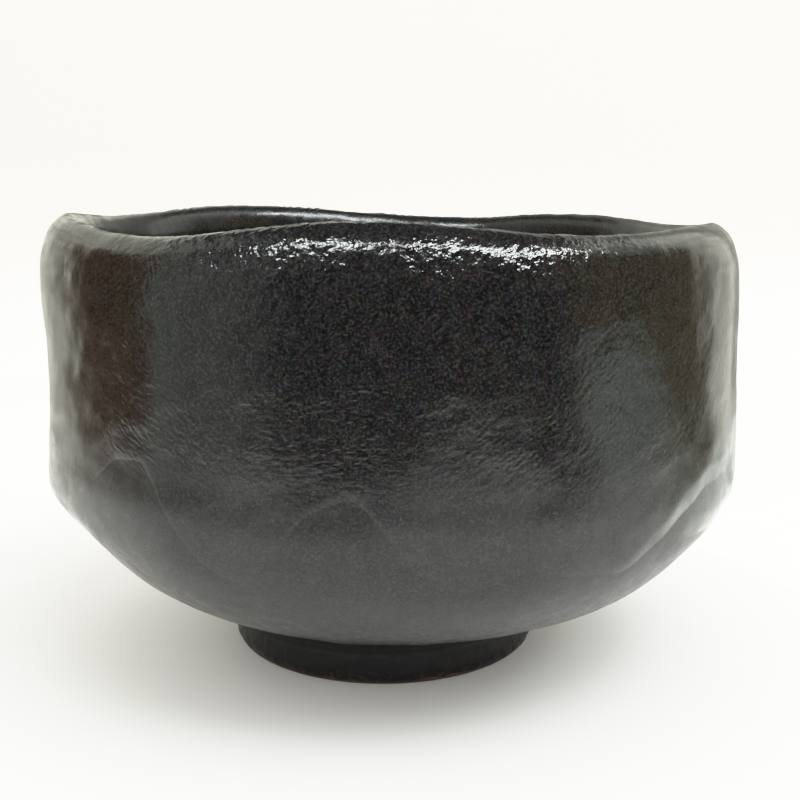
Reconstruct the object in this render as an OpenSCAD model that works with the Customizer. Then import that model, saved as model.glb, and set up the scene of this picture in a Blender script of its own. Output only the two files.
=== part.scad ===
// Hand-built black tea bowl with a wavy rim, a foot ring and a thick curtain of glaze.
// The origin is the middle of the foot ring on the table, and the front faces -Y.
// An azimuth is the angle in degrees from the front, positive towards +X.
// Every layer is offset from one clay skin, so neighbouring layers share their vertices and triangles.

/* [Bowl] */
// Nominal width of the glazed bowl
bowl_w = 121; // [112:1:130]
// Mean height of the glazed rim above the table
rim_h = 75; // [70:1:82]
// Mean height of the hip, where the wall turns in under the bowl
hip_h = 36; // [32:1:40]
// How much higher the hip stands on the right than its mean, and lower on the left
hip_tilt = 3; // [0:0.5:4]
// Height of the shoulder below the rim, where the wall turns in to the lip
shoulder_drop = 10; // [7:0.5:13]
// How far the lip turns in from the shoulder
lip_turn = 4.1; // [3:0.1:5]
// How far the wall leans in from the hip to the shoulder
wall_lean = 0.8; // [0:0.1:1.5]
// How far the middle of the wall stands to the right of the foot's middle
wall_shift = 1.2; // [0:0.1:2]
// Depth of the waist in the wall, on either side of the bowl
waist_depth = 0.6; // [0:0.1:1]
// Depth of a flat face 45 degrees wide pared along the wall
face_cut = 1.2; // [0:0.1:2]

/* [Inside] */
// Thickness of the clay at the lip
lip_t = 5.6; // [4.5:0.1:6.5]
// How far the rounding of the lip comes down inside the mouth
inner_lip_drop = 2.6; // [2:0.1:3.5]
// Height of the inside floor above the table, around the tea pool
floor_h = 13.6; // [13:0.1:16]
// Radius of the tea pool, the hollow where the last of the tea gathers
pool_r = 20; // [15:0.5:22]
// Depth of the tea pool
pool_depth = 1.2; // [0.5:0.1:2]

/* [Foot] */
// Diameter of the clay foot ring at the table
foot_d = 54; // [50:0.5:58]
// Height of the foot ring
foot_h = 8; // [6:0.5:9]
// Inside diameter of the foot ring
well_d = 40; // [34:0.5:42]
// How far the foot ring narrows from the table to its top
foot_taper = 0.4; // [0.2:0.1:1]
// Rounding of the foot ring's lower edges
foot_round = 1.2; // [0.5:0.1:1.5]
// Radius of the small clay cone inside the foot
cone_r = 6; // [4:0.5:8]
// Height of the small clay cone inside the foot
cone_h = 1.6; // [1:0.1:2.5]

/* [Glaze] */
// Thickness of the first coat, inside and outside
coat_t = 0.5; // [0.3:0.1:0.8]
// Thickness of the curtain coat over the upper wall and the lip
curtain_t = 0.5; // [0.3:0.1:1]
// Extra thickness of the roll along the curtain's lower edge
roll_t = 0.2; // [0.1:0.1:0.5]
// Height above the table where the foot's glaze stops
foot_glaze_gap = 1.5; // [1.5:0.1:2.5]

/* [Hidden] */

// Meridians around the bowl, and the step between them in degrees
MERIDIANS = 72;
STEP = 360 / MERIDIANS;
ROUND_FN = 96;

clay_r = bowl_w / 2 - coat_t - curtain_t;
clay_rim_h = rim_h - coat_t - curtain_t;
shoulder_h = rim_h - shoulder_drop;
crest_r = clay_r - wall_lean - lip_turn;
inner_lip_r = clay_r - wall_lean - lip_t;
joint_r = foot_d / 2 - foot_taper;
well_r = well_d / 2;

// Rim height above or below its mean, [azimuth, mm]: five low peaks with dips between them
RIM_WAVE = [
    [-144, 2.2], [-108, 0.5], [-78, 1.5], [-38, -1.2], [-3, 1.3],
    [32, -0.9], [66, 0.1], [102, -1.1], [136, 0.5], [160, -0.6],
];
// Height of the curtain's scalloped lower edge, [azimuth, mm]
HEM_WAVE = [
    [-170, 28], [-148, 38], [-128, 29], [-104, 39], [-68, 25], [-36, 42], [-22, 27], [-6, 39],
    [9, 27], [22, 29], [34, 26], [57, 37], [78, 24], [104, 41], [126, 28], [148, 36],
];
// Azimuths of the soft upright edges between the pared faces
FACE_EDGES = [-150, -115, -70, -30, 20, 60, 85, 120, 160];
// Width in degrees of the face that face_cut is measured on
FACE_WIDTH = 45;
// Broad cuts under the hips, then finger and spatula dents in the wall:
// [azimuth, height, half width in degrees, half height, depth]
DENTS = [
    [-74, 25, 42, 9, 2.2], [76, 21, 46, 10, 2.9], [14, 38, 12, 16, 0.4], [-52, 56, 18, 18, 0.5],
    [95, 50, 18, 18, 0.3], [140, 46, 20, 16, 0.7], [-135, 52, 20, 18, 0.6], [-92, 44, 14, 14, 0.4],
    [44, 40, 16, 14, 0.4],
];
// Roundness of the turn from the hip to the foot, and how much it gains on the right
HIP_FULLNESS = 2.55;
HIP_FULLNESS_GAIN = 0.75;
// Share of the waist that moves from the right side to the left
WAIST_BIAS = 0.85;
// Height over which the pared faces begin above the foot
FACE_RISE = 20;
// Share of the outside carving that shows inside the bowl
INSIDE_SHARE = 0.6;
// Handles of the inside curve, as distances in from the outside and up from the hip or the floor
UPPER_HANDLE = [2.7, 8];
LOWER_HANDLE = [3.7, 2];
// Width of the tea pool's soft edge, as a share of its radius
POOL_EDGE = 0.28;
// Share of the inside curve that the curtain covers below the lip, and how far that edge wanders
INNER_HEM = 0.13;
INNER_HEM_WANDER = 0.03;

// Rows of the skin from the foot joint up to the curtain's edge, closer where the skin curves most
LOW_ROWS = 6;
ROW_GROWTH = 1.4;
// Distances above the curtain's edge that shape its roll, and rows from there to the shoulder
ROLL_ROWS = [0.6, 2.4];
WALL_ROWS = 5;
SHOULDER_ROWS = 3;
LIP_ROWS = 2;
INNER_HEM_ROWS = 2;
INNER_ROWS = 6;
// Radii of the tea pool's rows, as shares of its radius
POOL_ROWS = [0.86, 0.72, 0.36];

HEM_ROW = LOW_ROWS;
CREST_ROW = HEM_ROW + len(ROLL_ROWS) + WALL_ROWS + SHOULDER_ROWS;
INNER_HEM_ROW = CREST_ROW + LIP_ROWS + INNER_HEM_ROWS;
LAST_ROW = INNER_HEM_ROW + INNER_ROWS + len(POOL_ROWS) + 1;

// Smooth step from 0 to 1
function ease(x) = let (c = max(0, min(1, x))) c * c * (3 - 2 * c);
// Rounded bump that is 1 at 0 and 0 beyond 1
function bump(x) = abs(x) < 1 ? (1 + cos(180 * x)) / 2 : 0;
function total(values) = values * [for (v = values) 1];
// Azimuth brought to the turn that starts at the azimuth "first"
function turned(a, first) = first + ((a - first) % 360 + 360) % 360;
// Smooth value around the bowl through a list of [azimuth, value], starting at entry i
function wave(a, pairs, i = 0) =
    let (
        at = turned(a, pairs[0][0]),
        p = pairs[i],
        q = i + 1 < len(pairs) ? pairs[i + 1] : pairs[0] + [360, 0]
    )
    at < q[0] || i == len(pairs) - 1
        ? p[1] + (q[1] - p[1]) * ease((at - p[0]) / (q[0] - p[0]))
        : wave(a, pairs, i + 1);
// Point on a cubic Bezier curve
function bezier(p, t) =
    pow(1 - t, 3) * p[0] + 3 * pow(1 - t, 2) * t * p[1] + 3 * (1 - t) * t * t * p[2] + pow(t, 3) * p[3];

// Depth cut off a round wall by the pared face that holds an azimuth: none at its edges, and a wide
// face is cut deeper, as a chord is
function face_depth(a, i = 0) =
    let (
        at = turned(a, FACE_EDGES[0]),
        p = FACE_EDGES[i],
        q = i + 1 < len(FACE_EDGES) ? FACE_EDGES[i + 1] : FACE_EDGES[0] + 360
    )
    at <= q ? face_cut * (at - p) * (q - at) / pow(FACE_WIDTH / 2, 2) : face_depth(a, i + 1);
function dents(a, z) =
    total([for (d = DENTS) d[4] * bump(turned(a - d[0], -180) / d[2]) * bump((z - d[1]) / d[3])]);
// How far the hand-shaped wall departs from a round one
function carving(a, z) = -face_depth(a) * ease((z - foot_h) / FACE_RISE) - dents(a, z);

// The hip is higher and rounder on the right than on the left
function hip(a) = hip_h + hip_tilt * sin(a);
function hip_fullness(a) = HIP_FULLNESS + HIP_FULLNESS_GAIN * sin(a);
// The wall has a waist at both sides and none at the front and the back
function waist(a) = waist_depth * pow(sin(a), 2) * (1 - WAIST_BIAS * sin(a));
function hem(a) = wave(a, HEM_WAVE);
function inner_hem(a) = INNER_HEM + INNER_HEM_WANDER * sin(3 * a + 40);
// The rim's wave fades out down the wall
function rim_lift(a, z) = wave(a, RIM_WAVE) * pow(max(0, (z - hip_h) / (clay_rim_h - hip_h)), 2);

// Round profile of the clay's outside up to the shoulder, before carving
function underside_r(a, z) =
    joint_r + (clay_r - joint_r) * (1 - pow(1 - (z - foot_h) / (hip(a) - foot_h), hip_fullness(a)));
function wall_r(a, z) =
    let (up = (z - hip(a)) / (shoulder_h - hip(a)))
    clay_r - wall_lean * up - waist(a) * sin(180 * up);
function outside_r(a, z) = z < hip(a) ? underside_r(a, z) : wall_r(a, z);

// Share of the carving at a radius: none at the round foot joint, all at the wall
function share(r) = ease((r - joint_r) / (clay_r - joint_r));
// A point [r, z] of the round profile, carved and lifted at an azimuth; cut is how much carving it takes
function shaped(a, p, cut = 1) = [
    p[0] + share(p[0]) * (wall_shift * sin(a) + cut * carving(a, p[1])),
    p[1] + rim_lift(a, p[1]),
];

function low_skin(a) = [
    for (k = [0:LOW_ROWS])
        let (z = foot_h + (hem(a) - foot_h) * pow(k / LOW_ROWS, ROW_GROWTH))
        shaped(a, [outside_r(a, z), z])
];
function roll_skin(a) = [for (d = ROLL_ROWS) shaped(a, [outside_r(a, hem(a) + d), hem(a) + d])];
function wall_skin(a) =
    let (start = hem(a) + ROLL_ROWS[1])
    [
        for (k = [1:WALL_ROWS])
            let (z = start + (shoulder_h - start) * pow(k / WALL_ROWS, ROW_GROWTH))
            shaped(a, [outside_r(a, z), z])
    ];
// Quarter ellipse from the shoulder to the crest of the lip
function shoulder_skin(a) = [
    for (k = [1:SHOULDER_ROWS])
        let (t = 90 * k / SHOULDER_ROWS)
        shaped(a, [crest_r + lip_turn * cos(t), shoulder_h + (clay_rim_h - shoulder_h) * sin(t)])
];
// Quarter ellipse from the crest down into the mouth
function lip_skin(a) = [
    for (k = [1:LIP_ROWS])
        let (t = 90 * k / LIP_ROWS, r = crest_r - (crest_r - inner_lip_r) * sin(t))
        shaped(a, [r, clay_rim_h - inner_lip_drop * (1 - cos(t))], INSIDE_SHARE)
];
// Inside of the bowl, from below the lip down to the tea pool
INSIDE_CURVE = [
    [inner_lip_r, clay_rim_h - inner_lip_drop],
    [clay_r - UPPER_HANDLE[0], hip_h + UPPER_HANDLE[1]],
    [clay_r - LOWER_HANDLE[0], floor_h + LOWER_HANDLE[1]],
    [pool_r, floor_h],
];
function inside_skin(a) = [
    for (k = [1:INNER_HEM_ROWS + INNER_ROWS])
        let (t = k <= INNER_HEM_ROWS
            ? inner_hem(a) * k / INNER_HEM_ROWS
            : inner_hem(a) + (1 - inner_hem(a)) * (k - INNER_HEM_ROWS) / INNER_ROWS)
        shaped(a, bezier(INSIDE_CURVE, t), INSIDE_SHARE)
];
function pool_skin(a) =
    [for (s = POOL_ROWS) [pool_r * s, floor_h - pool_depth * ease((1 - s) / POOL_EDGE)]];

// The whole clay skin on one meridian, from the foot joint over the lip to the middle of the floor
function skin(a) = concat(
    low_skin(a), roll_skin(a), wall_skin(a), shoulder_skin(a), lip_skin(a), inside_skin(a), pool_skin(a),
    [[0, floor_h - pool_depth]]
);
// Direction away from the clay at a row; the ends stay on the foot joint's plane and on the axis
function away(pts, i) =
    let (d = pts[min(i + 1, LAST_ROW)] - pts[max(i - 1, 0)])
    i == 0 ? [1, 0] : i == LAST_ROW ? [0, 1] : [d[1], -d[0]] / norm(d);
function offset_row(pts, i, t) = pts[i] + t * away(pts, i);

// Thickness of the curtain at a row: nothing at both edges, a roll above the lower one
function curtain_at(i) =
    i == HEM_ROW || i == INNER_HEM_ROW ? 0
        : i <= HEM_ROW + len(ROLL_ROWS) ? curtain_t + roll_t
        : curtain_t;

// Closed cross-section of each layer on one meridian
function base_loop(a) =
    let (pts = skin(a))
    concat(
        [for (i = [0:CREST_ROW]) offset_row(pts, i, coat_t)],
        [for (i = [CREST_ROW:-1:0]) pts[i]]
    );
function curtain_loop(a) =
    let (pts = skin(a))
    concat(
        [for (i = [HEM_ROW:INNER_HEM_ROW]) offset_row(pts, i, coat_t + curtain_at(i))],
        [for (i = [INNER_HEM_ROW - 1:-1:HEM_ROW + 1]) offset_row(pts, i, coat_t)]
    );
// Paths that start and end on the axis
function clay_path(a) = concat([[0, foot_h - cone_h], [cone_r, foot_h]], skin(a));
function inner_path(a) =
    let (pts = skin(a))
    concat(
        [for (i = [LAST_ROW:-1:CREST_ROW]) pts[i]],
        [for (i = [CREST_ROW:LAST_ROW]) offset_row(pts, i, coat_t)]
    );

function place(a, p) = [p[0] * sin(a), -p[0] * cos(a), p[1]];
// The two triangles of a cell with these corners, split from a to c where its points run along the clay
// skin's rows, and from b to d where they run back, so that both sides of a contact split alike
function cell(a, b, c, d, back) = back ? [[a, b, d], [b, c, d]] : [[a, b, c], [a, c, d]];

// Solid ring swept through one closed cross-section per meridian, which runs back from the point "turn"
module swept_ring(loops, turn) {
    n = len(loops);
    m = len(loops[0]);
    polyhedron(
        points = [for (j = [0:n - 1]) for (p = loops[j]) place(j * STEP, p)],
        faces = [
            for (j = [0:n - 1])
                for (i = [0:m - 1])
                    let (j2 = (j + 1) % n, i2 = (i + 1) % m)
                    each cell(j * m + i, j * m + i2, j2 * m + i2, j2 * m + i, i >= turn)
        ]
    );
}

// Solid swept through one path per meridian, where every path has the same two ends on the axis and runs
// back up to the point "turn"
module swept_cup(paths, turn = 0) {
    n = len(paths);
    m = len(paths[0]) - 2;
    first = n * m;
    last = first + 1;
    polyhedron(
        points = concat(
            [for (j = [0:n - 1]) for (i = [1:m]) place(j * STEP, paths[j][i])],
            [place(0, paths[0][0]), place(0, paths[0][m + 1])]
        ),
        faces = concat(
            [for (j = [0:n - 1]) [first, j * m, (j + 1) % n * m]],
            [
                for (j = [0:n - 1])
                    for (i = [0:m - 2])
                        let (j2 = (j + 1) % n)
                        each cell(j * m + i, j * m + i + 1, j2 * m + i + 1, j2 * m + i, i < turn)
            ],
            [for (j = [0:n - 1]) [last, (j + 1) % n * m + m - 1, j * m + m - 1]]
        )
    );
}

meridian_azimuths = [for (j = [0:MERIDIANS - 1]) j * STEP];

// Fired clay wall and floor, with the tea pool inside and the small cone under the floor
module clay_body() {
    color([0.42, 0.3, 0.24]) swept_cup([for (a = meridian_azimuths) clay_path(a)]);
}

// First coat, over the outside from the foot joint to the crest of the lip
module base_glaze() {
    color([0.13, 0.13, 0.13]) swept_ring([for (a = meridian_azimuths) base_loop(a)], CREST_ROW);
}

// Second, thick coat that hangs from the lip like a curtain
module curtain_glaze() {
    color([0.08, 0.07, 0.07])
        swept_ring([for (a = meridian_azimuths) curtain_loop(a)], INNER_HEM_ROW - HEM_ROW);
}

// First coat inside the bowl
module inner_glaze() {
    color([0.1, 0.09, 0.09])
        swept_cup([for (a = meridian_azimuths) inner_path(a)], LAST_ROW - CREST_ROW - 1);
}

// Clay foot ring, with quarter-round lower edges
function quarter(centre_r, from) = [
    for (t = [from:15:from + 90]) [centre_r + foot_round * cos(t), foot_round + foot_round * sin(t)]
];
module foot_ring() {
    color([0.36, 0.25, 0.2])
        rotate_extrude($fn = ROUND_FN)
            polygon(concat(
                [[well_r, foot_h]],
                quarter(well_r + foot_round, 180),
                quarter(foot_d / 2 - foot_round, 270),
                [[joint_r, foot_h]]
            ));
}

// Coat on the outside of the foot ring, thinned to nothing above the table
module foot_glaze() {
    edge_r = foot_d / 2 - foot_taper * (foot_glaze_gap - foot_round) / (foot_h - foot_round);
    color([0.14, 0.13, 0.13])
        rotate_extrude($fn = ROUND_FN)
            polygon([
                [edge_r, foot_glaze_gap],
                [edge_r + coat_t, foot_glaze_gap + coat_t],
                [joint_r + coat_t, foot_h],
                [joint_r, foot_h],
            ]);
}

// Coat in the hollow of the foot, over the ring's inside and the small cone
module foot_well_glaze() {
    color([0.15, 0.14, 0.13])
        rotate_extrude($fn = ROUND_FN)
            polygon([
                [well_r, foot_glaze_gap],
                [well_r, foot_h],
                [cone_r, foot_h],
                [0, foot_h - cone_h],
                [0, foot_h - cone_h - coat_t],
                [cone_r, foot_h - coat_t],
                [well_r - 2 * coat_t, foot_h - coat_t],
                [well_r - coat_t, foot_h - 2 * coat_t],
                [well_r - coat_t, foot_glaze_gap + coat_t],
            ]);
}

clay_body();
foot_ring();
base_glaze();
curtain_glaze();
inner_glaze();
foot_glaze();
foot_well_glaze();
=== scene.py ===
"""Looks of a hand-built black tea bowl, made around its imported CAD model.

Every glaze coat is rebuilt as a fine mesh on the CAD layers' own shape. An azimuth is the angle from the
front of the bowl, which faces -Y, positive towards +X. Lengths are in metres, and MM turns millimetres
into metres.
"""

import math

import bpy
import numpy as np
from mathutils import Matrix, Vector


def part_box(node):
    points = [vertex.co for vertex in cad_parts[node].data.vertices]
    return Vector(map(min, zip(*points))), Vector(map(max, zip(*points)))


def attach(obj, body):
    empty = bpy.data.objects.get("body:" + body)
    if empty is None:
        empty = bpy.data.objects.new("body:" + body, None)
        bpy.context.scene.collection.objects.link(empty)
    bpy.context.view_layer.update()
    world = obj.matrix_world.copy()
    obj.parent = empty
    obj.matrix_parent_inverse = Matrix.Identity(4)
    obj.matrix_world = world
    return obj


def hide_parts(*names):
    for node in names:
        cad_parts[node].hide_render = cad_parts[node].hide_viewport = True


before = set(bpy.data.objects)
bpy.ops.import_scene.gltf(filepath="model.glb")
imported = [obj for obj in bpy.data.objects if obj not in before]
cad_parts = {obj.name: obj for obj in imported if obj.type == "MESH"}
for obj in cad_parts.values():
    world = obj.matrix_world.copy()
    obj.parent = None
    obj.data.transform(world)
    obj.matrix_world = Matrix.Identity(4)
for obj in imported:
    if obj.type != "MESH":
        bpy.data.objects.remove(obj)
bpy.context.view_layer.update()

MM = 0.001

# ---------------------------------------------------------------- camera

# The camera stands close in front of the bowl and a little higher than its lip
CAMERA_AT = (0, -0.1984, 0.0798)
CAMERA_PITCH = math.radians(10.56)
CAMERA_YAW = math.radians(0.82)
CAMERA_LENS = 50.14
CAMERA_SENSOR = 36
CAMERA_CLIP_START = 5 * MM


def make_camera():
    data = bpy.data.cameras.new("camera")
    data.lens = CAMERA_LENS
    data.sensor_width = CAMERA_SENSOR
    data.clip_start = CAMERA_CLIP_START
    camera = bpy.data.objects.new("camera", data)
    camera.location = CAMERA_AT
    camera.rotation_euler = (math.pi / 2 - CAMERA_PITCH, 0, -CAMERA_YAW)
    bpy.context.scene.collection.objects.link(camera)
    bpy.context.scene.camera = camera


# ---------------------------------------------------------------- the CAD layers' own shape

# CAD points nearer together than this are one point
SAME_POINT = 0.002 * MM
# Radii and heights below this count as nought
NOUGHT = 0.01 * MM
# Points of two layers nearer together than this touch
TOUCHING = 0.02 * MM
# Azimuths are only read beyond this radius, where they are exact enough
AZIMUTH_FROM_R = 1 * MM


def cad_graph(node):
    """Points of a CAD node without doubles, and its edges between them."""
    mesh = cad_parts[node].data
    places, index_of, merged = [], {}, []
    for vertex in mesh.vertices:
        key = tuple(round(c / SAME_POINT) for c in vertex.co)
        if key not in index_of:
            index_of[key] = len(places)
            places.append(vertex.co[:])
        merged.append(index_of[key])
    edges = {tuple(sorted((merged[a], merged[b]))) for a, b in (e.vertices for e in mesh.edges)}
    return np.array(places), edges


def meridian_groups(places):
    """The azimuth step of a swept node, and the meridian number of each point (-1 on the axis)."""
    radius = np.hypot(places[:, 0], places[:, 1])
    azimuth = np.degrees(np.arctan2(places[:, 0], -places[:, 1])) % 360
    count = len(np.unique(np.round(azimuth[radius > AZIMUTH_FROM_R], 1) % 360))
    number = np.round(azimuth / (360 / count)).astype(int) % count
    number[radius < NOUGHT] = -1
    return count, number


def clay_skin():
    """Clay surface as [meridian, row, (radius, height)].

    The rows run from the foot joint over the lip to the floor's middle.
    """
    places, edges = cad_graph("clay_body")
    count, number = meridian_groups(places)
    radius = np.hypot(places[:, 0], places[:, 1])
    neighbours = {i: [] for i in range(len(places))}
    for a, b in edges:
        if a != b and number[a] == number[b] != -1:
            neighbours[a].append(b)
            neighbours[b].append(a)
    paths = []
    for meridian in range(count):
        ends = [i for i in np.flatnonzero(number == meridian) if len(neighbours[i]) == 1]
        path = [min(ends, key=lambda i: places[i][2])]
        while True:
            onward = [i for i in neighbours[path[-1]] if i not in path[-2:]]
            if not onward:
                break
            path.append(onward[0])
        paths.append([(radius[i], places[i][2]) for i in path])
    skin = np.array(paths)[:, 1:]
    top_of_axis = places[number == -1][:, 2].max()
    middle = np.zeros((count, 1, 2))
    middle[..., 1] = top_of_axis
    return np.concatenate([skin, middle], axis=1)


def offset(skin, distance):
    """The skin pushed away from the clay, as the CAD layers are."""
    onward = np.roll(skin, -1, axis=1) - np.roll(skin, 1, axis=1)
    away = np.stack([onward[..., 1], -onward[..., 0]], axis=-1)
    away[:, 0] = (1, 0)
    away[:, -1] = (0, 1)
    return skin + distance * away / np.linalg.norm(away, axis=-1, keepdims=True)


def curtain_rows(skin, coat):
    """First and last row that the curtain covers, and its usual and greatest thickness."""
    places, _ = cad_graph("curtain_glaze")
    count, number = meridian_groups(places)
    on_coat, proud = set(), []
    for point in places[number == 0]:
        gaps = np.linalg.norm(coat[0] - (math.hypot(point[0], point[1]), point[2]), axis=1)
        if gaps.min() < TOUCHING:
            on_coat.add(int(gaps.argmin()))
        else:
            proud.append(gaps.min())
    return min(on_coat), max(on_coat), float(np.median(proud)), max(proud)


SKIN = clay_skin()
FOOT_H = SKIN[0, 0, 1]
JOINT_R = SKIN[0, 0, 0]
COAT_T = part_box("foot_glaze")[1].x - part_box("foot_ring")[1].x
HEM_ROW, INNER_HEM_ROW, CURTAIN_T, ROLL_T = curtain_rows(SKIN, offset(SKIN, COAT_T))
CREST_ROW = int(SKIN[0, :, 1].argmax())
MERIDIANS, ROWS = SKIN.shape[:2]


def hermite(at, knots, period=None):
    """Weights of the knots' values in a smooth curve through them, read at the places in at."""
    values = np.eye(len(knots))
    if period:
        knots = np.concatenate([knots[-1:] - period, knots, knots[:2] + period])
        values = np.concatenate([values[-1:], values, values[:2]])
    else:
        knots = np.concatenate([2 * knots[:1] - knots[1:2], knots, 2 * knots[-1:] - knots[-2:-1]])
        values = np.concatenate([2 * values[:1] - values[1:2], values, 2 * values[-1:] - values[-2:-1]])
    step, rise = np.diff(knots)[:, None], np.diff(values, axis=0)
    before, after = step[:-1], step[1:]
    slopes = (after / before * rise[:-1] + before / after * rise[1:]) / (before + after)
    i = np.clip(np.searchsorted(knots, at, side="right") - 1, 1, len(knots) - 3)
    width = step[i]
    t = (at - knots[i])[:, None] / width
    ends = (2 * t**3 - 3 * t**2 + 1) * values[i] + (3 * t**2 - 2 * t**3) * values[i + 1]
    return ends + width * ((t**3 - 2 * t**2 + t) * slopes[i - 1] + (t**3 - t**2) * slopes[i])


def run_length(points):
    return np.concatenate([[0], np.cumsum(np.linalg.norm(np.diff(points, axis=0), axis=1))])


# The rows between the hem and the roll lie too close together for a smooth curve, so they are skipped
SMOOTH_ROWS = [i for i in range(ROWS) if i not in (HEM_ROW + 1, HEM_ROW + 2)]
# Places on a meridian: 0 at the foot joint, 1 at the crest of the lip, 2 at the floor's middle
PLACES = np.linspace(0, 2, 1201)
# Points of the smooth curve that the places are read from
CURVE_POINTS = 1600


def smooth_meridians():
    """Per meridian, smooth points at PLACES and the rows' places; the mean lengths outside and inside."""
    curves, row_places, lengths = [], [], []
    for rows in SKIN:
        at = run_length(rows)
        fine = np.linspace(0, at[-1], CURVE_POINTS)
        curve = hermite(fine, at[SMOOTH_ROWS]) @ rows[SMOOTH_ROWS]
        run = run_length(curve)
        crest = np.interp(at[CREST_ROW], fine, run)
        place = np.where(run < crest, run / crest, 1 + (run - crest) / (run[-1] - crest))
        curves.append(np.stack([np.interp(PLACES, place, curve[:, c]) for c in (0, 1)], axis=-1))
        row_places.append(np.interp(at, fine, place))
        lengths.append((crest, run[-1] - crest))
    return np.array(curves), np.array(row_places), np.mean(lengths, axis=0)


def soften(values):
    """Values per meridian, smoothed with their neighbours."""
    return (np.roll(values, 1, axis=0) + 2 * values + np.roll(values, -1, axis=0)) / 4


CURVES, ROW_PLACES, (OUTSIDE_L, INSIDE_L) = smooth_meridians()
CURVES = soften(CURVES)


def metres(place):
    """Mean distance from the foot joint along the skin to a place on it."""
    return OUTSIDE_L * np.minimum(place, 1) + INSIDE_L * np.maximum(place - 1, 0)


CREST_AT, END_AT = metres(1), metres(2)


def around(azimuths):
    return hermite(azimuths % 360, np.arange(MERIDIANS) * 360 / MERIDIANS, 360)


def revolved(azimuths, radius, height):
    """Points x, y, z of radii and heights at each azimuth."""
    angle = np.radians(azimuths)[:, None]
    return np.stack([radius * np.sin(angle), -radius * np.cos(angle), height], axis=-1)


class Sheet:
    """Fine smooth patch of the clay skin: azimuths by distances along the skin, given per azimuth."""

    def __init__(self, azimuths, along):
        self.azimuths = azimuths
        self.along = along
        curves = np.tensordot(around(azimuths), CURVES, 1)
        tangents = np.gradient(curves, axis=1)
        lengths = metres(PLACES)
        self.profile = np.empty(along.shape + (2,))
        slope = np.empty(along.shape + (2,))
        for j in range(len(azimuths)):
            for c in (0, 1):
                self.profile[j, :, c] = np.interp(along[j], lengths, curves[j, :, c])
                slope[j, :, c] = np.interp(along[j], lengths, tangents[j, :, c])
        self.away = np.stack([slope[..., 1], -slope[..., 0]], axis=-1)
        self.away /= np.linalg.norm(slope, axis=-1, keepdims=True)

    def points(self, lift):
        """The patch lifted off the clay by a distance, as x, y, z."""
        moved = self.profile + self.away * np.asarray(lift)[..., None]
        return revolved(self.azimuths, np.maximum(moved[..., 0], 0), moved[..., 1])


# ---------------------------------------------------------------- relief

# Noise maps cover the unrolled bowl: columns go round it and rows down it
MAP_R = 59 * MM
MAP_W, MAP_H = 2 * math.pi * MAP_R, 2 * MAP_R
MAP_COLUMNS, MAP_ROWS = 2048, 640


def band_noise(seed, wavelength, stretch=1.0, tilt=0.0, spread=0.35):
    """Noise map of about one wavelength, stretched along a line tilted by so many degrees."""
    white = np.random.default_rng(seed).standard_normal((MAP_ROWS, MAP_COLUMNS))
    down = np.fft.fftfreq(MAP_ROWS, MAP_H / MAP_ROWS)[:, None]
    across = np.fft.rfftfreq(MAP_COLUMNS, MAP_W / MAP_COLUMNS)[None]
    c, s = math.cos(math.radians(tilt)), math.sin(math.radians(tilt))
    frequency = np.hypot((across * c - down * s) * stretch, across * s + down * c) * wavelength
    gain = np.exp(-np.log(np.maximum(frequency, 1e-6)) ** 2 / (2 * spread**2))
    noise = np.fft.irfft2(np.fft.rfft2(white) * gain, s=white.shape)
    return noise / noise.std()


def read_map(noise, sheet):
    """The map's values at the points of a sheet."""
    column = np.repeat((sheet.azimuths % 360)[:, None] / 360 * MAP_COLUMNS, sheet.along.shape[1], axis=1)
    row = ((CREST_AT - sheet.along) / MAP_H % 1) * MAP_ROWS
    c0, r0 = np.floor(column).astype(int), np.floor(row).astype(int)
    fc, fr = column - c0, row - r0
    c0, r0, c1, r1 = c0 % MAP_COLUMNS, r0 % MAP_ROWS, (c0 + 1) % MAP_COLUMNS, (r0 + 1) % MAP_ROWS
    top = noise[r0, c0] * (1 - fc) + noise[r0, c1] * fc
    bottom = noise[r1, c0] * (1 - fc) + noise[r1, c1] * fc
    return top * (1 - fr) + bottom * fr


def ease(x):
    """Smooth step from 0 to 1."""
    x = np.clip(x, 0, 1)
    return x * x * (3 - 2 * x)


def near(x, centre, reach):
    """1 at the centre, easing to 0 at the reach."""
    return 1 - ease(np.abs(x - centre) / reach)


def wrinkle_map(seed, wavelength):
    """Wrinkles: level in front, rising to the right on the right, and falling to the right on the left."""
    level = band_noise(seed, wavelength, 2.4, 4)
    rising = band_noise(seed + 1, wavelength, 2.4, 38)
    falling = band_noise(seed + 2, wavelength, 2.0, -30)
    slant = 1.6 * np.sin(2 * math.pi * np.arange(MAP_COLUMNS) / MAP_COLUMNS)
    up, down = ease(slant), ease(-slant)
    flat = 1 - np.maximum(up, down)
    return (level * flat + rising * up + falling * down) / np.sqrt(flat**2 + up**2 + down**2)


WRINKLES = wrinkle_map(11, 1.9 * MM)
PITS = band_noise(21, 1.5 * MM, 1.3)
LUMPS = band_noise(31, 7 * MM, 1.5, 20, 0.5)
SWELLS = band_noise(41, 19 * MM, 1.2, 0, 0.4)
FOOT_LUMPS = band_noise(51, 3.5 * MM, 1.6, 0, 0.5)

# Depths of the relief
LUMP_DEPTH = 0.01 * MM
SWELL_DEPTH = 0.04 * MM
WRINKLE_DEPTH = 0.02 * MM
PIT_DEPTH = 0.018 * MM
GRAIN_DEPTH = 0.002 * MM
FOOT_LUMP_DEPTH = 0.02 * MM
# The curtain lies this much lower than in the CAD, which leaves room for its relief
CURTAIN_LOWER = 0.1 * MM
# The curtain turns lively over this rise, and calm over this fade towards the bowl's sides
LIVELY_FROM, LIVELY_RISE = 38 * MM, 14 * MM
SIDES_AT, SIDES_FADE = 62 * MM, 30 * MM
CALM_SHARE = 0.15


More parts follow.
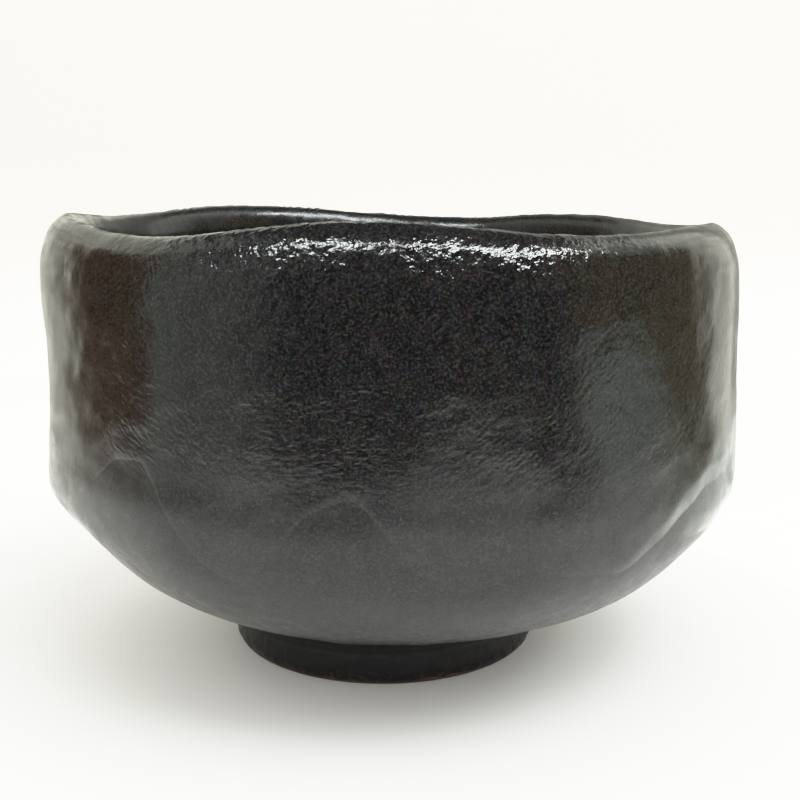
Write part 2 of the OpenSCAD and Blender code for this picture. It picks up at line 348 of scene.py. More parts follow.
def shared_relief(sheet):
    """Slight tool marks and swells, which every coat on the bowl follows alike."""
    return LUMP_DEPTH * read_map(LUMPS, sheet) + SWELL_DEPTH * read_map(SWELLS, sheet)


def curtain_relief(sheet):
    """What the thick coat adds: wrinkles and pits like citrus skin, calmer near the hem and the sides."""
    radius, height = sheet.profile[..., 0], sheet.profile[..., 1]
    sideways = radius * np.abs(np.sin(np.radians(sheet.azimuths)))[:, None]
    lively = ease((height - LIVELY_FROM) / LIVELY_RISE) * ease((SIDES_AT - sideways) / SIDES_FADE)
    wrinkles = -WRINKLE_DEPTH * ease((read_map(WRINKLES, sheet) + 0.5) / 2.4)
    pits = -PIT_DEPTH * ease((read_map(PITS, sheet) - 0.7) / 1.6)
    lumps = LUMP_DEPTH * read_map(LUMPS, sheet)
    return (wrinkles + pits + lumps) * (CALM_SHARE + (1 - CALM_SHARE) * lively) - CURTAIN_LOWER


def thin_relief(sheet):
    """What the thin coat adds: a faint grain."""
    return GRAIN_DEPTH * read_map(PITS, sheet)


# ---------------------------------------------------------------- meshes


def mesh_object(name, points, faces, sharp=()):
    """Smooth mesh, apart from the edges between points whose numbers are both in sharp."""
    mesh = bpy.data.meshes.new(name)
    mesh.from_pydata(points.tolist(), [], faces.tolist() if isinstance(faces, np.ndarray) else faces)
    mesh.polygons.foreach_set("use_smooth", np.ones(len(mesh.polygons), bool))
    ends = np.empty(2 * len(mesh.edges), int)
    mesh.edges.foreach_get("vertices", ends)
    mesh.edges.foreach_set("use_edge_sharp", np.isin(ends, sharp).reshape(-1, 2).all(axis=1))
    mesh.update()
    piece = bpy.data.objects.new(name, mesh)
    bpy.context.scene.collection.objects.link(piece)
    return piece


def swept_ring(name, outer, inner):
    """Closed ring between two skins, both [azimuth, point, xyz], with sharp edges where they meet."""
    loops = np.concatenate([outer, inner[:, ::-1]], axis=1)
    n, m = loops.shape[:2]
    j, i = np.meshgrid(np.arange(n), np.arange(m), indexing="ij")
    j2, i2 = (j + 1) % n, (i + 1) % m
    faces = np.stack([j * m + i, j2 * m + i, j2 * m + i2, j * m + i2], axis=-1).reshape(-1, 4)
    start = np.arange(n) * m
    rims = np.concatenate([start, start + outer.shape[1] - 1])
    return mesh_object(name, loops.reshape(-1, 3), faces, rims)


def swept_cup(name, paths, first, last):
    """Closed cup through one path per azimuth, whose ends meet at the points first and last."""
    n, m = paths.shape[:2]
    j, i = np.meshgrid(np.arange(n), np.arange(m - 1), indexing="ij")
    j2 = (j + 1) % n
    quads = np.stack([j * m + i, j2 * m + i, j2 * m + i + 1, j * m + i + 1], axis=-1).reshape(-1, 4)
    j = np.arange(n)
    j2 = (j + 1) % n
    start = np.stack([np.full(n, n * m), j2 * m, j * m], axis=-1)
    end = np.stack([np.full(n, n * m + 1), j * m + m - 1, j2 * m + m - 1], axis=-1)
    points = np.concatenate([paths.reshape(-1, 3), [first, last]])
    return mesh_object(name, points, quads.tolist() + start.tolist() + end.tolist())


# Numbers of waves round the bowl that a wander is made of, and how fast they weaken
WANDER_WAVES, WANDER_FALL = range(9, 60, 4), 0.7


def hem_wander(azimuths, seed, size):
    """Small irregular wander around the bowl."""
    rng = np.random.default_rng(seed)
    total = np.zeros(len(azimuths))
    for waves in WANDER_WAVES:
        wave = rng.normal() * np.sin(np.radians(waves * azimuths) + rng.uniform(0, 6.28))
        total += wave / waves**WANDER_FALL
    return total / total.std() * size


def spread(start, end, count, crowd=1.0):
    """Places from start to end for every azimuth, closer together near the start if crowd is above 1."""
    share = np.linspace(0, 1, count) ** crowd
    return start[:, None] + (end - start)[:, None] * share[None]


def even(value, azimuths):
    return np.full(len(azimuths), value)


def evenly_round(count):
    """So many azimuths, evenly round the bowl."""
    return np.arange(count) * 360 / count


# How far the curtain's two edges wander from the CAD's
HEM_WANDER = 0.5 * MM
# How long the curtain takes to thicken: from its thin and its plump outer edge, and from its inner edge
THIN_SLOPE, PLUMP_SLOPE, INNER_SLOPE = 30 * MM, 3.8 * MM, 3 * MM
# The outer edge starts under the base coat and rises out of it, which leaves a fine brink
HEM_UNDER, HEM_RISE, HEM_RISE_L = 0.03 * MM, 0.075 * MM, 1.7 * MM
# The plump roll's share of the CAD roll's extra thickness, and how far from the edge its crest lies
ROLL_SHARE, ROLL_AT = 0.2, 4.4 * MM
# The curtain's back lies this deep in the coats under it
CURTAIN_BACK = 0.15 * MM
# Where the curtain covers them, the base and inside coats sink by the first length, over the second
SINK, SINK_L = 0.2 * MM, 1 * MM
# The base coat starts to sink this far under the curtain, and the inside coat this far before it
BASE_SINKS_AT, INSIDE_SINKS_AT = 1.8 * MM, 0.2 * MM

# Mesh resolution of the coats: azimuths, and points along the shown, hidden and back stretches
CURTAIN_AZIMUTHS, CURTAIN_SHOWN, CURTAIN_BACK_POINTS = 760, 118, 9
BASE_AZIMUTHS, BASE_SHOWN, BASE_HIDDEN, BASE_BACK_POINTS = 680, 104, 12, 18
INSIDE_AZIMUTHS, INSIDE_SHOWN, INSIDE_HIDDEN, INSIDE_BACK_POINTS = 480, 130, 6, 18
FOOT_AZIMUTHS, FOOT_SHOWN, FOOT_BACK_POINTS = 600, 46, 14


# Azimuths between which the outer edge is a plump roll, and the fade at either end
PLUMP_FROM, PLUMP_TO, PLUMP_FADE = 22, 84, 14
# A weaker roll at the back: how plump it is, its azimuth and its reach
BACK_PLUMP, BACK_PLUMP_AT, BACK_PLUMP_REACH = 0.5, 150, 40
# The brink is weaker on the left: how much of it goes, the azimuth and the reach
DULLED, DULLED_AT, DULLED_REACH = 0.6, -52, 26


def hem_shape(azimuths):
    """How plump the curtain's outer edge is (1 is a roll, 0 thins out), and how crisp its brink is."""
    turned = (azimuths + 180) % 360 - 180
    plump = ease((turned - PLUMP_FROM) / PLUMP_FADE) * ease((PLUMP_TO - turned) / PLUMP_FADE)
    plump += BACK_PLUMP * near(turned, BACK_PLUMP_AT, BACK_PLUMP_REACH)
    crisp = 1 - DULLED * near(turned, DULLED_AT, DULLED_REACH)
    return plump[:, None], crisp[:, None]


def hem_places(azimuths):
    """Where the curtain's two edges lie along the skin, outside and inside."""
    outside, inside = metres(around(azimuths) @ ROW_PLACES[:, [HEM_ROW, INNER_HEM_ROW]]).T
    return outside + hem_wander(azimuths, 5, HEM_WANDER), inside + hem_wander(azimuths, 6, HEM_WANDER)


def make_curtain():
    azimuths = evenly_round(CURTAIN_AZIMUTHS)
    outside, inside = hem_places(azimuths)
    sheet = Sheet(azimuths, spread(outside, inside, CURTAIN_SHOWN, crowd=1.15))
    from_hem = sheet.along - outside[:, None]
    to_inner = inside[:, None] - sheet.along
    plump, crisp = hem_shape(azimuths)
    slope = THIN_SLOPE + (PLUMP_SLOPE - THIN_SLOPE) * plump
    thickness = CURTAIN_T * ease(from_hem / slope) * ease(to_inner / INNER_SLOPE)
    thickness += crisp * (HEM_RISE * ease(from_hem / HEM_RISE_L) - HEM_UNDER)
    thickness += ROLL_SHARE * plump * (ROLL_T - CURTAIN_T) * near(from_hem, ROLL_AT, ROLL_AT)
    relief = curtain_relief(sheet) * np.minimum(thickness / CURTAIN_T, 1)
    outer = sheet.points(COAT_T + shared_relief(sheet) + thickness + relief)
    back = Sheet(azimuths, spread(outside, inside, CURTAIN_BACK_POINTS)[:, 1:-1])
    inner = back.points(COAT_T + shared_relief(back) - CURTAIN_BACK)
    return swept_ring("curtain_coat", outer, inner)


# The base coat is smooth this near to the foot
FOOT_CALM = 2 * MM


def make_base():
    azimuths = evenly_round(BASE_AZIMUTHS)
    outside, _ = hem_places(azimuths)
    foot, crest = even(0.0, azimuths), even(CREST_AT, azimuths)
    sinks_at = outside + BASE_SINKS_AT
    shown = spread(foot, sinks_at + SINK_L, BASE_SHOWN)
    hidden = spread(sinks_at + SINK_L, crest, BASE_HIDDEN)[:, 1:]
    sheet = Sheet(azimuths, np.concatenate([shown, hidden], axis=1))
    relief = (shared_relief(sheet) + thin_relief(sheet)) * ease(sheet.along / FOOT_CALM)
    under_curtain = ease((sheet.along - sinks_at[:, None]) / SINK_L)
    outer = sheet.points(COAT_T + relief - SINK * under_curtain)
    back = Sheet(azimuths, spread(foot, crest, BASE_BACK_POINTS))
    return swept_ring("base_coat", outer, back.points(0 * back.along))


# The clay's flat facets stand proud of the smooth skin inside the hip, so the inside coat thickens there
INSIDE_EXTRA, INSIDE_EXTRA_L = 0.4 * MM, 12 * MM
# The inside coat is smooth round the middle of the floor, and its skins end this far short of it
MIDDLE_CALM, MIDDLE_GAP = 9 * MM, 0.6 * MM
# Its front hides this far under the curtain
INSIDE_TUCK = 0.8 * MM


def make_inside():
    azimuths = evenly_round(INSIDE_AZIMUTHS)
    _, inside = hem_places(azimuths)
    crest, middle = even(CREST_AT, azimuths), even(END_AT - MIDDLE_GAP, azimuths)
    hidden = spread(crest, inside - INSIDE_TUCK, INSIDE_HIDDEN)[:, :-1]
    shown = spread(inside - INSIDE_TUCK, middle, INSIDE_SHOWN)
    sheet = Sheet(azimuths, np.concatenate([hidden, shown], axis=1))
    past_hem = sheet.along - inside[:, None]
    under_curtain = ease((-INSIDE_SINKS_AT - past_hem) / SINK_L)
    from_middle = ease((middle[:, None] - sheet.along) / MIDDLE_CALM)
    relief = (shared_relief(sheet) + thin_relief(sheet)) * from_middle
    relief += INSIDE_EXTRA * ease(past_hem / INSIDE_EXTRA_L) * from_middle
    outer = sheet.points(COAT_T + relief - SINK * under_curtain)
    back = Sheet(azimuths, spread(crest, middle, INSIDE_BACK_POINTS))
    inner = back.points(0 * back.along)
    floor = SKIN[0, -1, 1]
    paths = np.concatenate([inner[:, ::-1], outer], axis=1)[:, ::-1]
    return swept_cup("inside_coat", paths, (0, 0, floor + COAT_T), (0, 0, floor))


def rest_ring():
    """Inner and outer radius of the flat ring that the bowl rests on."""
    places, _ = cad_graph("foot_ring")
    flat = places[places[:, 2] < NOUGHT]
    radius = np.hypot(flat[:, 0], flat[:, 1])
    return radius.min(), radius.max()


FOOT_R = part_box("foot_ring")[1].x
REST_INNER_R, REST_OUTER_R = rest_ring()
FOOT_ROUND = FOOT_R - REST_OUTER_R


def foot_side(height):
    """Radius of the clay foot's outside, and its tilt from level to upright, at a height."""
    low = np.clip(1 - height / FOOT_ROUND, 0, 1)
    rounded = REST_OUTER_R + FOOT_ROUND * np.sqrt(1 - low**2)
    taper = (FOOT_R - JOINT_R) * np.clip((height - FOOT_ROUND) / (FOOT_H - FOOT_ROUND), 0, 1)
    return rounded - taper, np.arcsin(low)


# The foot coat's lower edge: its least height, and how far it wanders above that
EDGE_H, EDGE_WANDER = 0.45 * MM, 0.28 * MM
# The coat thickens over the slope, which starts a lead below the edge; its relief sets in over the calm
EDGE_LEAD, EDGE_SLOPE, EDGE_CALM = 0.1 * MM, 1.8 * MM, 1 * MM
# A turning line runs round the foot, a little aslant
LINE_H, LINE_SLANT, LINE_DEPTH, LINE_REACH = 5.3 * MM, 0.4 * MM, 0.07 * MM, 0.5 * MM
# Glaze gathers under the bowl
FILLET_T, FILLET_REACH = 0.7 * MM, 0.8 * MM


def make_foot():
    """Coat on the foot: a ragged lower edge, a faint turning line, and a fillet under the bowl."""
    azimuths = evenly_round(FOOT_AZIMUTHS)
    start = (EDGE_H + np.abs(hem_wander(azimuths, 8, EDGE_WANDER)))[:, None]
    height = spread(start[:, 0], even(FOOT_H, azimuths), FOOT_SHOWN, crowd=1.3)
    above_edge = height - start
    radius, tilt = foot_side(height)
    column = (np.arange(FOOT_AZIMUTHS) * MAP_COLUMNS // FOOT_AZIMUTHS)[:, None]
    row = (height / MAP_H * MAP_ROWS).astype(int)
    relief = FOOT_LUMP_DEPTH * FOOT_LUMPS[row, column]
    turning_line = LINE_H + LINE_SLANT * np.sin(np.radians(azimuths + 60))[:, None]
    relief -= LINE_DEPTH * near(height, turning_line, LINE_REACH)
    relief += FILLET_T * np.exp((height - FOOT_H) / FILLET_REACH)
    lift = COAT_T * ease((above_edge + EDGE_LEAD) / EDGE_SLOPE) + relief * ease(above_edge / EDGE_CALM)
    outer = revolved(azimuths, radius + lift * np.cos(tilt), height - lift * np.sin(tilt))
    back_height = spread(start[:, 0], even(FOOT_H, azimuths), FOOT_BACK_POINTS)
    inner = revolved(azimuths, foot_side(back_height)[0], back_height)
    return swept_ring("foot_coat", outer, inner)


# ---------------------------------------------------------------- materials


class Nodes:
    """Short way to build a node material."""

    def __init__(self, name):
        self.material = bpy.data.materials.new(name)
        self.material.use_nodes = True
        self.tree = self.material.node_tree
        self.shader = self.tree.nodes["Principled BSDF"]
        coordinate = self.tree.nodes.new("ShaderNodeTexCoord")
        scale = self.tree.nodes.new("ShaderNodeVectorMath")
        scale.operation = "SCALE"
        scale.inputs["Scale"].default_value = 1 / MM
        self.tree.links.new(coordinate.outputs["Object"], scale.inputs[0])
        self.place = scale.outputs[0]

    def set(self, **values):
        for name, value in values.items():
            self.shader.inputs[name.replace("_", " ")].default_value = value

    def link(self, output, name):
        self.tree.links.new(output, self.shader.inputs[name])

    def noise(self, wavelength, detail=3.0, rough=0.55, place=None):
        """Noise whose features are about wavelength millimetres wide, at another place if one is given."""
        node = self.tree.nodes.new("ShaderNodeTexNoise")
        node.inputs["Scale"].default_value = 1 / wavelength
        node.inputs["Detail"].default_value = detail
        node.inputs["Roughness"].default_value = rough
        self.tree.links.new(self.place if place is None else place, node.inputs["Vector"])
        return node.outputs[0]

    def ramp(self, value, *stops):
        """Colour or grey ramp; each stop is (place, colour or grey)."""
        node = self.tree.nodes.new("ShaderNodeValToRGB")
        elements = node.color_ramp.elements
        while len(elements) < len(stops):
            elements.new(0.5)
        for element, (at, colour) in zip(elements, stops):
            element.position = at
            grey = isinstance(colour, (int, float))
            element.color = (colour, colour, colour, 1) if grey else (*colour, 1)
        self.tree.links.new(value, node.inputs[0])
        return node.outputs[0]

    def mix(self, share, a, b):
        node = self.tree.nodes.new("ShaderNodeMix")
        node.data_type = "RGBA"
        self.tree.links.new(share, node.inputs["Factor"])
        for value, name in ((a, "A"), (b, "B")):
            socket = [s for s in node.inputs if s.name == name and s.type == "RGBA"][0]
            if isinstance(value, tuple):
                socket.default_value = (*value, 1)
            else:
                self.tree.links.new(value, socket)
        return [s for s in node.outputs if s.type == "RGBA"][0]

    def streaks(self, wavelength, direction, stretch=2.0):
        """Calm noise drawn out along a direction."""
        along = Vector(direction).normalized()
        dot = self.tree.nodes.new("ShaderNodeVectorMath")
        dot.operation = "DOT_PRODUCT"
        dot.inputs[1].default_value = along
        self.tree.links.new(self.place, dot.inputs[0])
        pull = self.tree.nodes.new("ShaderNodeVectorMath")
        pull.operation = "SCALE"
        pull.inputs[0].default_value = along * (1 / stretch - 1)
        self.tree.links.new(dot.outputs["Value"], pull.inputs["Scale"])
        drawn = self.tree.nodes.new("ShaderNodeVectorMath")
        self.tree.links.new(self.place, drawn.inputs[0])
        self.tree.links.new(pull.outputs[0], drawn.inputs[1])
        return self.noise(wavelength, 2, 0.35, drawn.outputs[0])

    def along(self, axis, start=0, span=100):
        """A point's place along an axis, for a ramp: 0 at start, and 1 a span of millimetres further on."""
        node = self.tree.nodes.new("ShaderNodeSeparateXYZ")
        self.tree.links.new(self.place, node.inputs[0])
        share = self.math("MULTIPLY", node.outputs[axis], 1 / span)
        return self.math("SUBTRACT", share, start / span)

    def math(self, operation, a, b):
        node = self.tree.nodes.new("ShaderNodeMath")
        node.operation = operation
        for value, socket in ((a, node.inputs[0]), (b, node.inputs[1])):
            if isinstance(value, (int, float)):
                socket.default_value = value
            else:
                self.tree.links.new(value, socket)
        return node.outputs[0]

    def tinted_noise(self, wavelength, brightness):
        """Noise in slightly different tints, as a colour of this mean brightness."""
        node = self.tree.nodes.new("ShaderNodeTexNoise")
        node.inputs["Scale"].default_value = 1 / wavelength
        self.tree.links.new(self.place, node.inputs["Vector"])
        scale = self.tree.nodes.new("ShaderNodeVectorMath")
        scale.operation = "SCALE"
        scale.inputs["Scale"].default_value = 2 * brightness
        self.tree.links.new(node.outputs["Color"], scale.inputs[0])
        return scale.outputs[0]

    def bump(self, value, depth, strength=None, below=None):
        """Bump of a depth in millimetres, on top of another bump, with a linked strength."""
        node = self.tree.nodes.new("ShaderNodeBump")
        node.inputs["Distance"].default_value = depth * MM
        node.inputs["Strength"].default_value = 1
        self.tree.links.new(value, node.inputs["Height"])
        if strength is not None:
            self.tree.links.new(strength, node.inputs["Strength"])
        if below is not None:
            self.tree.links.new(below, node.inputs["Normal"])
        return node.outputs[0]


GLAZE_IOR = 1.52
# The streaks' width, and their directions on the left, in front and on the right
STREAK = 0.6
FALLING, LEVEL, RISING = (0.7, -0.4, -0.5), (1, 0, 0.08), (0.62, 0.42, 0.62)
# Depths of the bump in millimetres: the wrinkles where they are deepest, and the grain
WRINKLE_BUMP, GRAIN_BUMP = 0.2, 0.012
# How far the roughness strays from its mean in patches
PATCHY = 0.06
# Ramps across the bowl, and from its front to its back, start this many millimetres from its middle
RAMP_START = -50


def glaze_colour(m, dark, brown):
    """Clouded black and brown, with blotches and fine tinted specks."""
    cloud = m.ramp(m.noise(13, 3), (0.38, 0.0), (0.66, 1.0))
    speck = m.ramp(m.noise(0.38, 2, 0.7), (0.42, 0.0), (0.7, 1.0))
    blotch = m.ramp(m.noise(2.8, 3), (0.46, 0.0), (0.68, 0.8))
    ground = m.mix(blotch, m.mix(cloud, dark, brown), (0.0078, 0.0064, 0.0062))
    return m.mix(m.math("MULTIPLY", speck, 0.7), ground, m.tinted_noise(0.6, 0.03))


def glaze_roughness(m, gloss):
    """Satin low on the bowl and on its back, and glossy towards the lip."""
    low = m.ramp(m.along("Z"), (0.37, 0.15), (0.46, 0.03), (0.6, 0.0))
    behind = m.ramp(m.along("Y", RAMP_START), (0.6, 0.0), (0.8, 0.14))
    patchy = m.ramp(m.noise(2.2, 4), (0.3, gloss - PATCHY), (0.7, gloss + PATCHY))
    return m.math("ADD", m.math("ADD", low, behind), patchy)


def glaze_wrinkles(m):
    """Streaks on the wall, which turn with it, and rounder wrinkles at the lip, stronger in patches."""
    rightwards = m.along("X", RAMP_START)
    falling, level, rising = (m.streaks(STREAK, way) for way in (FALLING, LEVEL, RISING))
    wall = m.mix(m.ramp(rightwards, (0.2, 0.0), (0.36, 1.0)), falling, level)
    wall = m.mix(m.ramp(rightwards, (0.48, 0.0), (0.62, 1.0)), wall, rising)
    wrinkles = m.mix(at_lip(m), wall, m.noise(1.1, 2, 0.5))
    return m.math("MULTIPLY", wrinkles, m.ramp(m.noise(6, 2), (0.36, 0.6), (0.62, 1.2)))


def at_lip(m):
    """0 on the wall and 1 at the lip."""
    return m.ramp(m.along("Z"), (0.64, 0.0), (0.68, 1.0))


def wrinkle_strength(m):
    """How deep the wrinkles are: calm low on the wall, at the sides, and on the back of the lip."""
    rightwards = m.along("X", RAMP_START)
    calm_sides = m.ramp(rightwards, (0.04, 0.05), (0.26, 1.0), (0.84, 1.0), (0.98, 0.25))
    wall = m.ramp(m.along("Z"), (0.38, 0.04), (0.47, 0.42), (0.6, 0.36))
    from_middle = m.math("ABSOLUTE", m.along("X"), 0)
    lip = m.ramp(from_middle, (0.28, 1.3), (0.42, 0.12))
    calm_back = m.ramp(m.along("Y", RAMP_START), (0.5, 1.0), (0.7, 0.25))
    return m.mix(at_lip(m), m.math("MULTIPLY", wall, calm_sides), m.math("MULTIPLY", lip, calm_back))


def glaze(name, dark, brown, gloss, pits, mirror=0.5):
    """Black glaze; pits is its share of the fine relief, and mirror its specular level."""
    m = Nodes(name)
    m.set(IOR=GLAZE_IOR, Specular_IOR_Level=mirror, Specular_Tint=(0.97, 1.0, 0.98, 1))
    m.link(glaze_colour(m, dark, brown), "Base Color")
    m.link(glaze_roughness(m, gloss), "Roughness")
    wrinkles = m.math("MULTIPLY", glaze_wrinkles(m), WRINKLE_BUMP * pits)
    wrinkled = m.bump(wrinkles, 1, wrinkle_strength(m))
    grain = m.math("MULTIPLY", m.noise(0.3, 4, 0.75), GRAIN_BUMP * pits)
    m.link(m.bump(grain, 1, below=wrinkled), "Normal")
    return m.material


def curtain_material():
    return glaze("thick_black_glaze", (0.0016, 0.0014, 0.002), (0.0036, 0.0026, 0.0022), 0.13, 1)


def base_material():
    return glaze("thin_black_glaze", (0.0018, 0.002, 0.0021), (0.0028, 0.0027, 0.0024), 0.15, 0.9, 0.46)


def inside_material():
    return glaze("inside_black_glaze", (0.0018, 0.0016, 0.0018), (0.004, 0.003, 0.0022), 0.24, 0.6)


def foot_material():
    """The foot's thin coat, with specks of red clay near the table."""
    m = Nodes("foot_black_glaze")
    m.set(IOR=GLAZE_IOR, Specular_IOR_Level=0.22)
    ground = m.mix(m.noise(5, 3), (0.0035, 0.0035, 0.0042), (0.006, 0.0055, 0.006))
    near_table = m.ramp(m.along("Z", span=10), (0.05, 1.0), (0.32, 0.0))
    speck = m.ramp(m.noise(0.7, 2), (0.54, 0.0), (0.62, 1.0))
    m.link(m.mix(m.math("MULTIPLY", near_table, speck), ground, (0.05, 0.022, 0.014)), "Base Color")
    m.link(m.ramp(m.noise(1.5, 4), (0.3, 0.3), (0.7, 0.5)), "Roughness")
    coarse = m.bump(m.noise(1.1, 2, 0.5), 0.04)
    m.link(m.bump(m.noise(0.4, 1, 0.5), 0.01, below=coarse), "Normal")
    return m.material


def clay_material():
    m = Nodes("fired_clay")
    m.link(m.mix(m.noise(4, 4), (0.035, 0.02, 0.014), (0.07, 0.042, 0.03)), "Base Color")
    m.link(m.ramp(m.noise(1.5, 3), (0.3, 0.75), (0.7, 0.95)), "Roughness")
    m.link(m.bump(m.noise(0.5, 3, 0.7), 0.06), "Normal")
    return m.material


# ---------------------------------------------------------------- stage and light


TABLE_COLOUR = (0.9, 0.905, 0.89)
WALL_COLOUR = (0.75, 0.72, 0.64)
STAGE_ROUGHNESS = 0.7
STAGE_MIRROR = 0.2
STAGE_HALF = 1.6
# The wall's distance behind the bowl and its height, and the radius of the cove that leads up to it
WALL_AT = 0.37
WALL_TOP = 0.34
COVE = 0.1


def table_material():
    m = Nodes("white_table")
    m.set(Base_Color=(*TABLE_COLOUR, 1), Roughness=STAGE_ROUGHNESS, Specular_IOR_Level=STAGE_MIRROR)
    return m.material


def wall_material():
    """The table's colour at the foot of the wall, fading into the wall's own."""
    m = Nodes("white_wall")
    m.set(Roughness=STAGE_ROUGHNESS, Specular_IOR_Level=STAGE_MIRROR)
    m.link(m.ramp(m.along("Z"), (0.01, TABLE_COLOUR), (0.6, WALL_COLOUR)), "Base Color")
    return m.material


def make_stage():
    """Pale table, and a pale wall that rises from it with a small cove."""
    table_corners = [(-STAGE_HALF, -STAGE_HALF), (STAGE_HALF, -STAGE_HALF)]
    table_corners += [(STAGE_HALF, WALL_AT - COVE), (-STAGE_HALF, WALL_AT - COVE)]
    table = mesh_object("table", np.array([(x, y, 0) for x, y in table_corners]), [[0, 1, 2, 3]])
    table.data.materials.append(table_material())
    profile = []
    for turn in np.radians(np.arange(0, 91, 3)):
        profile.append((WALL_AT - COVE + COVE * math.sin(turn), COVE - COVE * math.cos(turn)))
    profile.append((WALL_AT, WALL_TOP))
    points = np.array([(x, y, z) for x in (-STAGE_HALF, STAGE_HALF) for y, z in profile])
    n = len(profile)
    wall = mesh_object("wall", points, [[i, i + n, i + n + 1, i + 1] for i in range(n - 1)])
    wall.data.materials.append(wall_material())


# Least strength of the glow, and how much its mottle adds to that
GLOW_LEAST, GLOW_MOTTLE = 0.55, 0.9
# Points along a card's curve, and how far a card lies above the table
CARD_POINTS = 13
CARD_LIFT = 0.5 * MM


def glow_material(name, colour):
    """Mottled glow; the colour holds its mean radiance and may be above 1."""
    m = Nodes(name)
    glow = m.tree.nodes.new("ShaderNodeEmission")
    glow.inputs["Color"].default_value = (*colour, 1)
    mottle = m.ramp(m.noise(16, 2), (0.36, 0.0), (0.64, 1.0))
    strength = m.math("ADD", m.math("MULTIPLY", mottle, GLOW_MOTTLE), GLOW_LEAST)
    m.tree.links.new(strength, glow.inputs["Strength"])
    m.tree.links.new(glow.outputs[0], m.tree.nodes["Material Output"].inputs["Surface"])
    return m.material


def glow_card(name, points, faces, colour):
    """Card that only shows in the bowl's gloss."""
    card = mesh_object(name, np.array(points), faces)
    card.data.materials.append(glow_material(name, colour))
    card.visible_camera = False
    card.visible_diffuse = False
    card.visible_transmission = False
    card.visible_shadow = False


def strip_faces():
    """Faces between a card's two rows of points."""
    return [[i, i + 1, i + CARD_POINTS + 1, i + CARD_POINTS] for i in range(CARD_POINTS - 1)]


def room_card(name, start, end, low, high, colour, distance=0.2, high_end=None):
    """Upright part of a room around the bowl: azimuths and heights of a curved card."""
    azimuths = np.radians(np.linspace(start, end, CARD_POINTS))
    tops = np.linspace(high, high if high_end is None else high_end, CARD_POINTS)
    ring = [(distance * math.sin(a), -distance * math.cos(a)) for a in azimuths]
    points = [(x, y, low) for x, y in ring] + [(x, y, top) for (x, y), top in zip(ring, tops)]
    glow_card(name, points, strip_faces(), colour)


def table_card(name, start, end, near_r, far_r, colour):
    """Brighter part of the table: azimuths and radii of a flat card that lies on it."""
    azimuths = np.radians(np.linspace(start, end, CARD_POINTS))
    points = [(r * math.sin(a), -r * math.cos(a), CARD_LIFT) for r in (near_r, far_r) for a in azimuths]
    glow_card(name, points, strip_faces(), colour)


def make_room():
    """What the bowl mirrors beyond the table: dark furniture beside it, lighter walls, sheets and lamps."""
    room_card("left_cabinet", -110, -76, 0, 0.19, (0.24, 0.13, 0.07), 0.25)
    room_card("left_upper_wall", -110, -64, 0.19, 0.45, (1.0, 1.02, 0.9), 0.25)
    room_card("left_wall", -76, -35, 0, 0.19, (0.66, 0.7, 0.62), 0.22)
    room_card("left_corner", -35, -24, 0, 0.17, (0.36, 0.38, 0.36), 0.22)
    room_card("front", -24, 50, 0, 0.15, (0.068, 0.068, 0.076))
    room_card("front_sheet", 4, 34, 0.002, 0.02, (0.85, 0.9, 0.85), 0.199)
    room_card("right_sheet", 51, 66, 0.002, 0.03, (0.9, 1.0, 0.9), 0.199, 0.055)
    room_card("right_sheet_end", 66, 84, 0.002, 0.055, (0.9, 1.0, 0.9), 0.199, 0.02)
    room_card("right_cabinet", 50, 98, 0, 0.17, (0.33, 0.26, 0.15))
    room_card("right_upper_wall", 76, 98, 0.17, 0.4, (0.8, 0.8, 0.72))
    room_card("left_back_wall", -180, -110, 0, 0.34, (1.2, 1.2, 1.02), 0.26)
    room_card("right_window", 98, 128, 0, 0.34, (1.8, 1.8, 1.58), 0.25)
    room_card("right_back_wall", 128, 180, 0, 0.34, (0.62, 0.62, 0.55), 0.25)
    table_card("right_window_glow", 84, 130, 0.118, 0.25, (2.4, 2.5, 2.3))
    table_card("right_near_glow", 84, 130, 0.085, 0.118, (3.6, 3.7, 3.4))
    table_card("left_window_glow", -150, -100, 0.078, 0.26, (2.3, 2.3, 2.1))
    for name, start, end in (("left_lamp", -44, -12), ("right_lamp", 4, 80)):
        room_card(name, start, end, 0.52, 0.66, (40, 41, 42), 0.5)


BOWL_MIDDLE = (0, 0, 0.05)
# Colour and strength of the light from all round, and the colour that the gloss shows between the cards
SURROUND_COLOUR = (0.81, 0.795, 0.755, 1)
SURROUND_LIGHT = 2.05
MIRRORED_COLOUR = (0.12, 0.12, 0.12, 1)
LAMP_COLOUR = (0.94, 0.97, 1.0)
LAMP_DISTANCE = 1.2


def on_dome(azimuth, elevation, distance):
    """Point seen from the bowl at an azimuth from the front and an elevation."""
    a, e = math.radians(azimuth), math.radians(elevation)
    level = distance * math.cos(e)
    return (level * math.sin(a), -level * math.cos(a), BOWL_MIDDLE[2] + distance * math.sin(e))


def make_world():
    """Even white light on everything, and a dim room in reflections."""
    world = bpy.data.worlds.new("studio")
    world.use_nodes = True
    bpy.context.scene.world = world
    tree = world.node_tree
    tree.nodes.clear()
    path = tree.nodes.new("ShaderNodeLightPath")
    bright = tree.nodes.new("ShaderNodeBackground")
    bright.inputs["Color"].default_value = SURROUND_COLOUR
    bright.inputs["Strength"].default_value = SURROUND_LIGHT
    dim = tree.nodes.new("ShaderNodeBackground")
    dim.inputs["Color"].default_value = MIRRORED_COLOUR
    mix = tree.nodes.new("ShaderNodeMixShader")
    out = tree.nodes.new("ShaderNodeOutputWorld")
    tree.links.new(path.outputs["Is Glossy Ray"], mix.inputs["Fac"])
    tree.links.new(bright.outputs[0], mix.inputs[1])
    tree.links.new(dim.outputs[0], mix.inputs[2])
    tree.links.new(mix.outputs[0], out.inputs["Surface"])


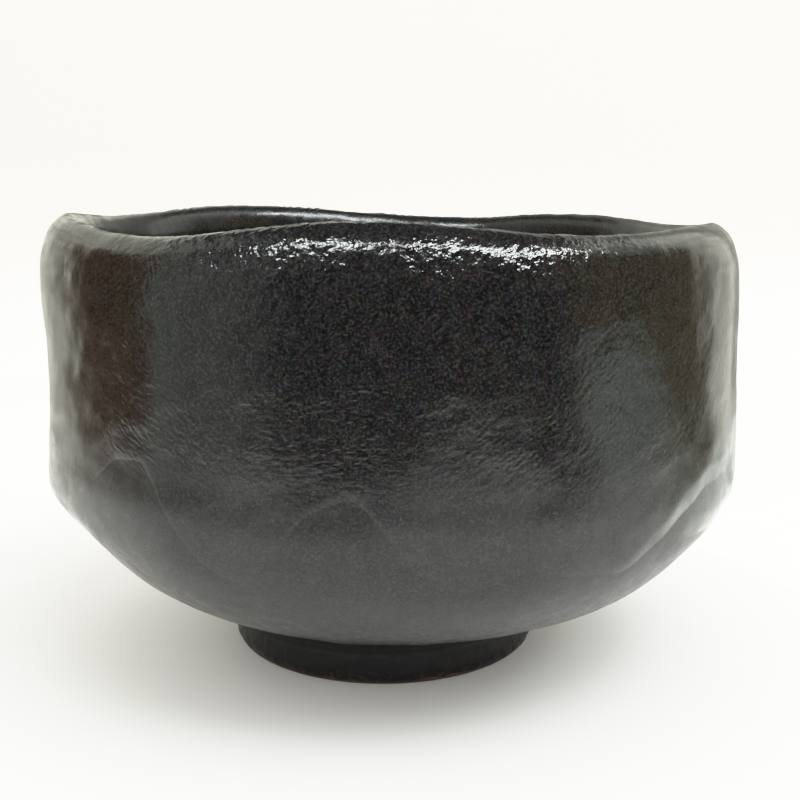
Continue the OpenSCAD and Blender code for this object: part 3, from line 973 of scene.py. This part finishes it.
def make_lamp(name, azimuth, elevation, size, power):
    """Lamp that the bowl's gloss does not show; the cards stand in for it there."""
    data = bpy.data.lights.new(name, "AREA")
    data.shape = "RECTANGLE"
    data.size, data.size_y = size
    data.energy = power
    data.color = LAMP_COLOUR
    lamp = bpy.data.objects.new(name, data)
    lamp.location = on_dome(azimuth, elevation, LAMP_DISTANCE)
    lamp.rotation_mode = "QUATERNION"
    lamp.rotation_quaternion = (Vector(BOWL_MIDDLE) - lamp.location).to_track_quat("-Z", "Y")
    lamp.visible_glossy = False
    bpy.context.scene.collection.objects.link(lamp)


def make_lights():
    make_world()
    make_lamp("window", 60, 52, (0.8, 0.6), 7.0)
    make_lamp("ceiling", 30, 62, (0.6, 0.6), 4.0)


# The brightest radiance that the tone curve covers, and the curve's inner points as (radiance, shown)
TONE_WHITE = 2.5
TONE_POINTS = ((0.25, 0.25), (0.6, 0.58), (1.0, 0.84), (1.5, 0.96))


def set_tone():
    """Photographic tone: straight below mid grey, with a soft shoulder up to the brightest white."""
    settings = bpy.context.scene.view_settings
    settings.view_transform = "Standard"
    settings.use_curve_mapping = True
    mapping = settings.curve_mapping
    mapping.white_level = (TONE_WHITE, TONE_WHITE, TONE_WHITE)
    curve = mapping.curves[3]
    curve.points[0].location = (0, 0)
    curve.points[1].location = (1, 1)
    for radiance, shown in TONE_POINTS:
        curve.points.new(radiance / TONE_WHITE, shown)
    mapping.update()


# ---------------------------------------------------------------- assembly


def fit(piece, material, slot, *nodes):
    """Gives a piece its material, hangs it on the root body, and hides the CAD nodes it stands for; slot is
    not used.
    """
    piece.data.materials.append(material)
    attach(piece, "root")
    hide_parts(*nodes)


def dress_cad(node, material):
    """Gives a CAD node its material."""
    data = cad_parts[node].data
    data.materials.clear()
    data.materials.append(material)


make_camera()
thick, thin, within, clay = curtain_material(), base_material(), inside_material(), clay_material()
fit(make_curtain(), thick, "curtain_glaze", "curtain_glaze")
fit(make_base(), thin, "base_glaze", "base_glaze")
fit(make_inside(), within, "inner_glaze", "inner_glaze")
fit(make_foot(), foot_material(), "base_glaze", "foot_glaze")
dress_cad("clay_body", clay)
dress_cad("foot_ring", clay)
dress_cad("foot_well_glaze", thin)
make_stage()
make_room()
make_lights()
set_tone()
